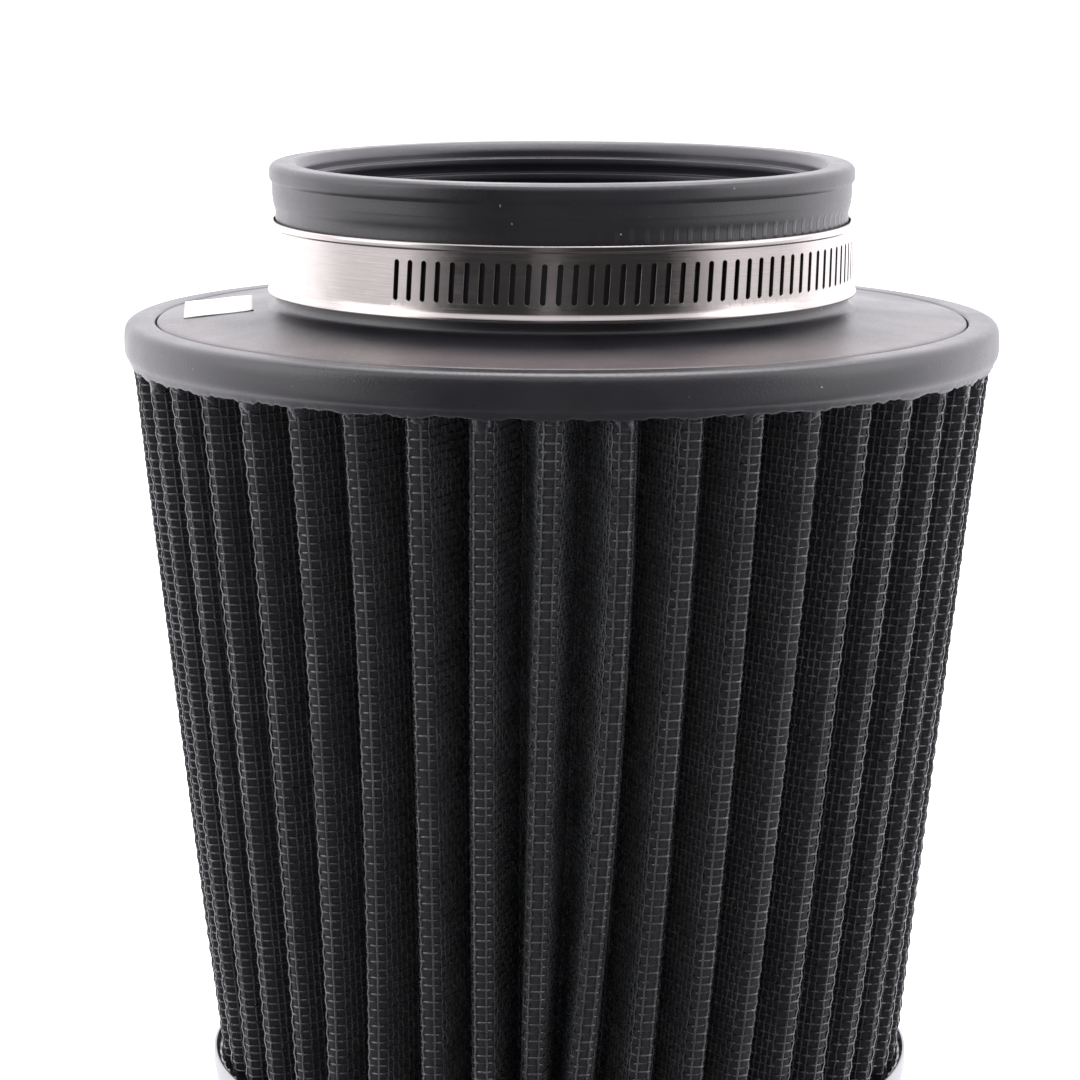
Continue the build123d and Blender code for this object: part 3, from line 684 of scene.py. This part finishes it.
# ---------------------------------------------------------------- urethane ring
def ring_object():
    segs = N * 44
    th = -math.pi / 2 + np.arange(segs) * 2 * math.pi / segs
    crest = crest_azimuth([144.0])[0]
    d = np.abs((th[:, None] - crest[None] + math.pi) % (2 * math.pi) - math.pi).min(1)
    near = np.clip(1 - (np.degrees(d) / 1.95) ** 4, 0, 1)
    edge = np.clip(1 - (np.degrees(d) / 2.6) ** 2, 0, 1)
    rng = np.random.default_rng(21)
    rag = rng.normal(0, 1, segs)
    rag = np.convolve(np.concatenate([rag[-6:], rag, rag[:6]]), np.ones(5) / 5, "same")[6:-6]
    per = rng.uniform(-0.45, 0.45, N)
    which = np.abs((th[:, None] - crest[None] + math.pi) % (2 * math.pi) - math.pi).argmin(1)
    wick = near * (0.14 + 0.25 * per[which]) + 0.05 * edge + 0.3 * rag + 0.12
    top = [(70.75, 149.4), (70.72, 151.2), (70.75, 151.9), (70.9, 152.2), (71.2, 152.36), (71.8, 152.4)]
    top += [(73.2, 152.4), (74.4, 152.38), (75.0, 152.26), (75.5, 152.0), (75.85, 151.6), (76.05, 151.1)]
    top += [(76.17, 150.4), (76.2, 149.6), (76.2, 148.6), (76.18, 147.8), (76.1, 147.2), (75.95, 146.7), (75.75, 146.35)]
    low = [(75.5, 146.0, 0.0), (75.38, 145.6, 0.25), (75.3, 145.3, 0.5), (75.2, 145.15, 0.8), (75.05, 145.05, 1.0), (74.7, 145.1, 1.0)]
    under = [(74.2, 145.45), (72.0, 145.8), (66.0, 145.7), (60.0, 145.5), (56.5, 145.4), (55.2, 145.5), (54.6, 146.0), (54.5, 147.0), (54.5, 149.3)]
    rows = []
    for r, z in top:
        rows.append((np.full(segs, r), np.full(segs, z)))
    for r, z, w in low:
        drop = wick * w
        rr = r - drop * SLOPE - 0.0 + 0.0 * near
        gap = (1 - edge) * w
        rows.append((rr - gap * 0.12, z - drop + gap * 0.04))
    for r, z in under:
        rows.append((np.full(segs, r), np.full(segs, z)))
    R = np.stack([a for a, _ in rows], 1)
    Z = np.stack([b for _, b in rows], 1)
    wob = lump(th, 31, 0.05, (3, 5, 8, 13))[:, None]
    outer = (R > 74)
    Z = Z + wob * outer * 0.6
    R = np.minimum(R + lump(th, 33, 0.04, (4, 9, 15))[:, None] * outer - 0.03 * outer, 76.2)
    fine = lump(th, 35, 0.03, (31, 47, 71))[:, None]
    Z = Z + fine * (Z < 146.6) * (R > 74)
    v = np.stack([R * np.cos(th)[:, None], R * np.sin(th)[:, None], Z], -1).reshape(-1, 3)
    q = grid(segs, R.shape[1], True, True)
    return make_mesh("urethane_ring", v, q[:, ::-1], ring_mat)


def soaked_object():
    """Urethane that has run down into the screen on each crest, thin enough
    for the wires to stand out of it, with a ragged lower edge."""
    rng = np.random.default_rng(77)
    z = np.linspace(141.2, 146.2, 26)
    fr = np.linspace(0.0, 0.2, 9)
    P, Q = sheet(z, fr)
    nf = len(fr)
    P, Q = P.reshape(len(z), N, 2, nf, 2), Q.reshape(len(z), N, 2, nf, 2)
    left_p, left_q = np.roll(P[:, :, 1], 1, 1), np.roll(Q[:, :, 1], 1, 1)
    S = np.concatenate([left_p[:, :, :-1], P[:, :, 0]], 2)
    M = np.concatenate([left_q[:, :, :-1], Q[:, :, 0]], 2)
    nc = S.shape[2]
    verts, faces = [], []
    across = np.linspace(-1, 1, nc)
    for k in range(N):
        rag = rng.normal(0, 1, nc)
        rag = np.convolve(np.concatenate([rag[:2], rag, rag[-2:]]), [0.25, 0.5, 0.25], "same")[2:-2]
        length = 1.9 + rng.uniform(-0.8, 0.9) + 0.75 * rag
        length = length * np.clip(1.15 - across**2 * 0.75, 0.25, 1.1)
        edge = 145.6 - length
        over = np.clip((z[:, None] - edge[None]) / 0.35, -1, 1)
        lvl = 0.40 + 0.31 * np.clip(over, -0.6, 1) + 0.05 * np.sin(z[:, None] * 4.2 + across * 5)
        lvl = lvl + 0.12 * np.clip((z[:, None] - 144.6) / 1.2, 0, 1)
        p = S[:, k] + M[:, k] * lvl[..., None]
        v = np.concatenate([p, np.repeat(z[:, None], nc, 1)[..., None]], -1).reshape(-1, 3)
        faces.append(grid(len(z), nc, start=sum(len(x) for x in verts))[:, ::-1])
        verts.append(v)
    return make_mesh("urethane_soaked_edge", np.concatenate(verts), np.concatenate(faces), soak_mat)


soak_mat = rubber("urethane_soaked", 0.012, 0.24, grain=2.6, specks=False)
soaked = soaked_object()
ring = ring_object()
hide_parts("flange_ring")

# ---------------------------------------------------------------- end cap and potting
e = 3.4
arc = lambda rad: [(61.9 - e + rad * math.sin(math.radians(9 * i)), e - rad * math.cos(math.radians(9 * i))) for i in range(11)]
cap = [(0.0001, 0.0), (46.0, 0.0, 0.7), (47.2, 1.2, 0.7), (50.8, 1.2, 0.7), (52.0, 0.0, 0.7)] + arc(e)
cap += [(61.9, 18.0, 0.4), (62.35, 18.5, 0.35), (62.35, 21.2, 0.2), (62.2, 21.4, 0.15), (61.85, 21.4, 0.1)]
cap += [(61.75, 21.2, 0.1), (61.75, 19.0, 0.3), (61.4, 18.2, 0.3)] + arc(e - 0.6)[::-1]
cap += [(52.3, 0.7, 0.5), (51.1, 1.9, 0.5), (46.9, 1.9, 0.5), (45.7, 0.7, 0.5), (0.0001, 0.7)]
end_cap = lathe("end_cap_pressing", soft(cap), cap_mat, segs=320, step=2.0,
                warp=lambda r, z, T: (r + lump(T, 41, 0.03, (3, 5, 11)) * (z > 4) * (r < 62.3), z))
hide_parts("end_cap")


def potting_object():
    segs, radii = N * 16, np.concatenate([np.linspace(0.001, 40, 14), np.linspace(42, 61.72, 26)])
    th = np.arange(segs) * 2 * math.pi / segs
    R, T = np.meshgrid(radii, th)
    base = np.where(R < 41, 16.2, np.where(R > 45.5, 20.3, 16.2 + (R - 41) / 4.5 * 4.1))
    crest = crest_azimuth([20.0])[0]
    d = np.abs((T[..., None] - crest + math.pi) % (2 * math.pi) - math.pi).min(-1) * R
    climb = np.exp(-((R - 61.7) / 0.7) ** 2) * 0.35
    climb = climb + 0.5 * np.exp(-(((d - 2.2) / 0.5) ** 2)) * (R > 47) * (R < 61)
    Z = base + climb + lump(T, 51, 0.05, (3, 7, 12)) + 0.12 * np.sin(R * 0.9 + 2 * np.sin(T * 5)) * (R > 20)
    Z = np.minimum(Z, 20.95)
    top = np.stack([R * np.cos(T), R * np.sin(T), Z], -1)
    low_r = [61.35, 61.35, 60.4, 52.3, 51.1, 46.9, 45.7, 0.001]
    low_z = [18.0, 3.2, 0.98, 0.74, 1.94, 1.94, 0.74, 0.74]
    LR, LT = np.meshgrid(low_r, th)
    LZ = np.repeat(np.array(low_z)[None], segs, 0)
    low = np.stack([LR * np.cos(LT), LR * np.sin(LT), LZ], -1)
    V = np.concatenate([top, low], 1)
    q = grid(segs, V.shape[1], True, True)
    return make_mesh("end_potting_pour", V.reshape(-1, 3), q[:, ::-1], pot_mat)


pot = potting_object()
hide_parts("end_potting")


# ---------------------------------------------------------------- blank label
def label_object():
    nu, nv, w, l = 17, 37, 12.0, 29.0
    u = np.linspace(-w / 2, w / 2, nu)
    v = np.linspace(-l / 2, l / 2, nv)
    U, V = np.meshgrid(u, v, indexing="ij")
    c, s = math.cos(math.radians(5)), math.sin(math.radians(5))
    X = -60.6 + U * c - V * s
    Y = 6.6 + U * s + V * c
    R = np.hypot(X, Y)
    pr = [49.9, 50.6, 51.9, 54.3, 57.0, 66.5, 69.6, 70.35]
    pz = [155.4, 154.85, 154.42, 154.03, 153.72, 152.72, 152.5, 152.28]
    H = np.interp(R, pr, pz) + 0.05
    H = H + 0.22 * np.clip((U / (w / 2) - 0.55), 0, 1) ** 2 * (V < 0)
    H = H + 0.05 * np.sin(V * 0.5) * np.sin(U * 0.6)
    verts, faces = [], []
    for k, t in enumerate((0.0, 0.1)):
        verts.append(np.stack([X, Y, H + t], -1).reshape(-1, 3))
    q = grid(nu, nv)
    m = nu * nv
    idx = np.arange(m).reshape(nu, nv)
    loop = np.concatenate([idx[:, 0], idx[-1, 1:], idx[-2::-1, -1], idx[0, -2:0:-1]])
    nxt = np.roll(loop, -1)
    side = np.stack([loop, nxt, nxt + m, loop + m], 1)
    return make_mesh("blank_paper_label", np.concatenate(verts), np.concatenate([q[:, ::-1], q + m, side]), label_mat)


label = label_object()
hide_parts("blank_label")


# ---------------------------------------------------------------- clamp band
BAND_Z, BAND_T, IN_R = TOP + 10.97, 0.6, 50.12
UNDER_R = IN_R + 0.6
TAIL_R = UNDER_R + BAND_T + 0.3
PITCH = 2.89
SIDE_Z = [-4.55, -4.0, -3.35, -2.45, -1.2, 0.0, 1.2, 2.45, 3.35, 4.0, 4.55]


def slot_outline(width, length=6.7, tilt=3.5, grow=0.0):
    """28 points anticlockwise from the lower right corner, matched to the
    cell's boundary: right side, top, left side, bottom."""
    r = width / 2 + grow
    h = (length - width) / 2
    right = [(r * math.sin(math.radians(a)), -h - r * math.cos(math.radians(a))) for a in (45, 67)]
    right += [(r, t * h) for t in (-1.0, -0.66, -0.33, 0.0, 0.33, 0.66, 1.0)]
    right += [(r * math.cos(math.radians(a)), h + r * math.sin(math.radians(a))) for a in (23, 45)]
    top = [(r * math.cos(math.radians(a)), h + r * math.sin(math.radians(a))) for a in (67.5, 90, 112.5)]
    pts = right + top
    pts = pts + [(-x, -z) for x, z in pts]
    c, s = math.cos(math.radians(tilt)), math.sin(math.radians(tilt))
    return np.array([(x * c + z * s, -x * s + z * c) for x, z in pts])


def cell_boundary(w):
    xs = [w / 2, w / 4, 0.0, -w / 4, -w / 2]
    right = [(w / 2, z) for z in SIDE_Z]
    top = [(x, SIDE_Z[-1]) for x in xs[1:-1]]
    pts = right + top
    return np.array(pts + [(-x, -z) for x, z in pts])


UP = [4.55, 4.8, 5.0, 5.1, 5.22, 5.4, 5.65, 5.9, 6.12, 6.26, 6.33, 6.35]
DOWN = [-4.45, -4.55, -4.75, -5.0, -5.25, -5.5, -5.7, -5.9, -6.08, -6.22, -6.31, -6.35]
DOWN[0] = -4.55
DOWN = sorted(set(DOWN), reverse=True)


def lip_out(z):
    z = np.asarray(z, float)
    up = np.interp(z, [4.95, 5.12, 5.24, 5.6, 6.0, 6.2, 6.31, 6.35], [0, 0.02, 0.2, 0.27, 0.27, 0.2, 0.08, -0.06])
    dn = np.interp(-z, [4.5, 4.8, 5.1, 5.4, 5.7, 5.9, 6.08, 6.22, 6.31, 6.35], [0, 0.05, 0.16, 0.33, 0.47, 0.52, 0.5, 0.4, 0.22, -0.04])
    return np.where(z > 0, up, dn)


def band_base(a):
    """Inner radius of the strip at azimuth a in degrees, unwrapped."""
    return np.interp(
        a,
        [79, 100.8, 102.2, 103.8, 105.5, 107.0, 427.0, 428.5, 430.5, 433.0, 435.0, 436.8, 438.5, 445],
        [UNDER_R, UNDER_R, UNDER_R - 0.1, UNDER_R - 0.32, IN_R + 0.1, IN_R, IN_R, IN_R + 0.12, IN_R + 0.4, IN_R + 0.82, IN_R + 1.18, TAIL_R - 0.12, TAIL_R, TAIL_R],
    )


def lip_share(a):
    return np.interp(a, [79, 133.5, 136.5, 421.0, 424.5, 445], [0, 0, 1, 1, 0, 0])


def strip_mesh(name, cells, base, lips, mat, body, half=lambda a: np.full(np.shape(a), 6.35), wave=None):
    """A strip bent round Z from cells (centre azimuth, width in degrees,
    slot width or 0). Vertices are merged where cells meet."""
    verts, quads, seen, walls = [], [], {}, set()

    def vert(a, z, depth, key_r):
        key = (round(float(a), 4), round(float(z), 4), key_r)
        if key not in seen:
            seen[key] = len(verts)
            hw = float(half(np.array([a]))[0])
            zz = z * hw / 6.35
            r = float(base(a)) + BAND_T
            lip = float(lip_out(z)) * float(lips(a))
            if key_r == "in":
                r = float(base(a)) + (0.0 if abs(z) < 6.3 else 0.05)
            else:
                r = r + max(lip, -0.06) - depth
            if wave is not None:
                r += float(wave(a, z))
            t = math.radians(a)
            verts.append((r * math.cos(t), r * math.sin(t), BAND_Z + zz))
        return seen[key]

    def deg(x):
        return math.degrees(x / (IN_R + BAND_T))

    edges_low, edges_up, ends = [], [], []
    for n, (centre, wide, slot) in enumerate(cells):
        w = math.radians(wide) * (IN_R + BAND_T)
        B = cell_boundary(w)
        outer = [vert(centre + deg(x), z, 0, "out") for x, z in B]
        inner = [vert(centre + deg(x), z, 0, "in") for x, z in B]
        if slot:
            O = slot_outline(slot, grow=0.035)
            O2 = slot_outline(slot, grow=0.0)
            ro = [vert(centre + deg(x), z, 0.0, "out") for x, z in O]
            rc = [vert(centre + deg(x), z, 0.0, "brim") for x, z in O]
            rb = [vert(centre + deg(x), z, 0.035, "wall") for x, z in O2]
            rw = [vert(centre + deg(x), z, BAND_T - 0.001, "wall2") for x, z in O2]
            ri = [vert(centre + deg(x), z, 0, "in") for x, z in O2]
            k = len(B)
            for i in range(k):
                j = (i + 1) % k
                quads.append((outer[i], outer[j], ro[j], ro[i]))
                quads.append((rc[i], rc[j], rb[j], rb[i]))
                # the through-thickness slot walls get the painted-shade steel
                walls.add(len(quads))
                quads.append((rb[i], rb[j], rw[j], rw[i]))
                quads.append((ri[i], ri[j], inner[j], inner[i]))
        else:
            xs = [-w / 2, -w / 4, 0, w / 4, w / 2]
            for layer, flip in (("out", False), ("in", True)):
                for z0, z1 in zip(SIDE_Z, SIDE_Z[1:]):
                    for x0, x1 in zip(xs, xs[1:]):
                        q = [vert(centre + deg(x), z, 0, layer) for x, z in ((x0, z0), (x1, z0), (x1, z1), (x0, z1))]
                        quads.append(tuple(q[::-1]) if flip else tuple(q))
        xs = [-w / 2, -w / 4, 0, w / 4, w / 2]
        for zs in (UP, DOWN[::-1]):
            for layer, flip in (("out", False), ("in", True)):
                for z0, z1 in zip(zs, zs[1:]):
                    for x0, x1 in zip(xs, xs[1:]):
                        q = [vert(centre + deg(x), z, 0, layer) for x, z in ((x0, z0), (x1, z0), (x1, z1), (x0, z1))]
                        quads.append(tuple(q[::-1]) if flip else tuple(q))
        for x0, x1 in zip(xs, xs[1:]):
            for z, flip in ((6.35, False), (-6.35, True)):
                q = [vert(centre + deg(x0), z, 0, "out"), vert(centre + deg(x1), z, 0, "out"), vert(centre + deg(x1), z, 0, "in"), vert(centre + deg(x0), z, 0, "in")]
                quads.append(tuple(q[::-1]) if flip else tuple(q))
        for first, x, flip in ((n == 0, -w / 2, True), (n == len(cells) - 1, w / 2, False)):
            if first:
                zs = DOWN[::-1] + SIDE_Z[1:] + UP[1:]
                for z0, z1 in zip(zs, zs[1:]):
                    q = [vert(centre + deg(x), z0, 0, "out"), vert(centre + deg(x), z0, 0, "in"), vert(centre + deg(x), z1, 0, "in"), vert(centre + deg(x), z1, 0, "out")]
                    quads.append(tuple(q[::-1]) if flip else tuple(q))
    return make_mesh(name, verts, np.array(quads), [mat, slot_wall_shade_mat], index=np.array([1 if n in walls else 0 for n in range(len(quads))]), body=body)


cells = []
start = 237.5 - PITCH / 2 - 54 * PITCH
for i in range(126):
    c = start + PITCH * (i + 0.5)
    cells.append((c, PITCH, 0.87 if i >= 54 else 0))
last = start + PITCH * 126
cells[-1] = (cells[-1][0], PITCH, 0)
band_wave = lambda a, z: 0.035 * math.sin(math.radians(a) * 3 + 1.0) * (1 if 140 < a < 420 else 0) + 0.012 * math.sin(math.radians(a) * 17) * (1 if 140 < a < 420 else 0)
band = strip_mesh("clamp_band_strip", cells, band_base, lip_share, band_mat, "clamp", wave=band_wave)
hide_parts("clamp_band")

tail_cells = []
a0 = 88.56
for i in range(15):
    c = 90 + PITCH * i
    tail_cells.append((c, PITCH, 1.02 if 90 <= c < 126 else 0))
a = 90 + PITCH * 14.5
# the plain, rounded tip in fine steps; the strip ends at 131 degrees
tail_cells = [t for t in tail_cells if t[0] + PITCH / 2 <= 127.5]
edge = tail_cells[-1][0] + PITCH / 2
steps = 9
for i in range(steps):
    w = (131.0 - edge) / steps
    tail_cells.append((edge + w * (i + 0.5), w, 0))


def tail_half(a):
    s = np.radians(131.0 - np.asarray(a, float)) * TAIL_R
    r = 4.2
    return np.where(s < r, 6.35 - r + np.sqrt(np.clip(r * r - (r - np.clip(s, 0, r)) ** 2, 0, None)), 6.35)


tail = strip_mesh("clamp_band_free_end", tail_cells, lambda a: TAIL_R, lambda a: 0.0, band_mat, "tail", half=tail_half)
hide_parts("clamp_band_tail")

# ---------------------------------------------------------------- housing, saddle, screw
for node, mat, width in (
    ("clamp_housing", housing_mat, 0.22),
    ("clamp_saddle", housing_mat, 0.12),
    ("clamp_screw", screw_mat, 0.09),
):
    o = nodes[node]
    for s in o.material_slots:
        s.material = mat
    b = o.modifiers.new("edges", "BEVEL")
    b.width, b.segments, b.limit_method = width * MM, 3, "ANGLE"
    b.angle_limit = math.radians(35)
    b.use_clamp_overlap = True
strip = nodes["pack_seam_strip"]
for s in strip.material_slots:
    s.material = strip_mat


# ---------------------------------------------------------------- stage and light
def floor_material():
    m = Mat("floor", roughness=0.6, specular=0.2)
    n = m.noise(30.0, 3.0, 0.5)
    m.to("Base Color", m.mix(n, (0.90, 0.90, 0.90), (0.93, 0.93, 0.93)))
    m.set(emission_color=(1, 1, 1, 1), emission_strength=0.55)
    return m.m


fm = bpy.data.meshes.new("floor")
fm.from_pydata([(-14, -14, 0), (14, -14, 0), (14, 14, 0), (-14, 14, 0)], [], [(0, 1, 2, 3)])
fm.materials.append(floor_material())
floor = bpy.data.objects.new("floor", fm)
bpy.context.scene.collection.objects.link(floor)
floor.visible_glossy = False

world = bpy.data.worlds.new("studio")
bpy.context.scene.world = world
world.use_nodes = True
wt = world.node_tree
bg = wt.nodes["Background"]


def wmath(op, a, b=0.0, clamp=False):
    n = wt.nodes.new("ShaderNodeMath")
    n.operation, n.use_clamp = op, clamp
    for s, v in zip(n.inputs, (a, b)):
        if isinstance(v, (int, float)):
            s.default_value = v
        else:
            wt.links.new(v, s)
    return n.outputs[0]


def wrange(v, a, b, c, d):
    n = wt.nodes.new("ShaderNodeMapRange")
    n.interpolation_type = "SMOOTHSTEP"
    wt.links.new(v, n.inputs["Value"])
    for k, x in zip(("From Min", "From Max", "To Min", "To Max"), (a, b, c, d)):
        n.inputs[k].default_value = x
    return n.outputs["Result"]


wc = wt.nodes.new("ShaderNodeTexCoord")
ws = wt.nodes.new("ShaderNodeSeparateXYZ")
wt.links.new(wc.outputs["Generated"], ws.inputs[0])
X, Y, Z = ws.outputs
length = wmath("SQRT", wmath("ADD", wmath("MULTIPLY", X, X), wmath("MULTIPLY", Y, Y)))
length = wmath("MAXIMUM", length, 0.0001)
# 1 straight at the dark side of the studio, falling to -1 opposite it
fx, fy = math.sin(math.radians(1)), -math.cos(math.radians(1))
facing = wmath("DIVIDE", wmath("ADD", wmath("MULTIPLY", X, fx), wmath("MULTIPLY", Y, fy)), length)
dark = wrange(facing, 0.44, 0.74, 0.0, 1.0)
low_top = wrange(Z, 0.42, 0.7, 1.0, 0.0)
dark = wmath("MULTIPLY", dark, low_top)
under = wmath("MULTIPLY", wrange(Z, -0.75, -0.25, 1.0, 0.0), wrange(facing, -0.1, 0.2, 0.0, 1.0))
dark = wmath("MAXIMUM", dark, under)
sx, sy = math.sin(math.radians(-5)), -math.cos(math.radians(-5))
streak = wmath("DIVIDE", wmath("ADD", wmath("MULTIPLY", X, sx), wmath("MULTIPLY", Y, sy)), length)
streak = wmath("MULTIPLY", wrange(streak, 0.9975, 0.9996, 0.0, 0.28), low_top)
back = wrange(facing, -0.55, 0.0, 1.0, 0.0)
level = wmath("SUBTRACT", wmath("ADD", 1.0, wmath("MULTIPLY", back, 0.95)), wmath("MULTIPLY", dark, 0.955))
level = wmath("ADD", level, streak)
wt.links.new(level, bg.inputs["Strength"])
bg.inputs["Color"].default_value = (1.0, 0.975, 1.02, 1)
white = wt.nodes.new("ShaderNodeBackground")
white.inputs["Color"].default_value = (1, 1, 1, 1)
white.inputs["Strength"].default_value = 1.15
lp = wt.nodes.new("ShaderNodeLightPath")
mixw = wt.nodes.new("ShaderNodeMixShader")
wt.links.new(lp.outputs["Is Camera Ray"], mixw.inputs[0])
wt.links.new(bg.outputs[0], mixw.inputs[1])
wt.links.new(white.outputs[0], mixw.inputs[2])
wt.links.new(mixw.outputs[0], wt.nodes["World Output"].inputs["Surface"])


def area(name, at, look, size, power, size_y=None, colour=(1, 1, 1)):
    d = bpy.data.lights.new(name, "AREA")
    d.energy, d.size, d.color = power, size, colour
    if size_y:
        d.shape, d.size_y = "RECTANGLE", size_y
    o = bpy.data.objects.new(name, d)
    o.location = at
    o.rotation_euler = (Vector(look) - Vector(at)).to_track_quat("-Z", "Y").to_euler()
    bpy.context.scene.collection.objects.link(o)
    return o


area("top_soft", (0.1, 0.25, 1.3), (0, 0, 0.1), 1.0, 9.0, 0.8)
area("left_soft", (-1.1, -0.25, 0.55), (0, 0, 0.1), 0.8, 2.6, 0.9)
area("right_soft", (1.1, -0.15, 0.55), (0, 0, 0.1), 0.8, 2.6, 0.9)

scene = bpy.context.scene
scene.view_settings.view_transform = "Standard"
scene.view_settings.look = "None"
scene.view_settings.exposure = 0.0
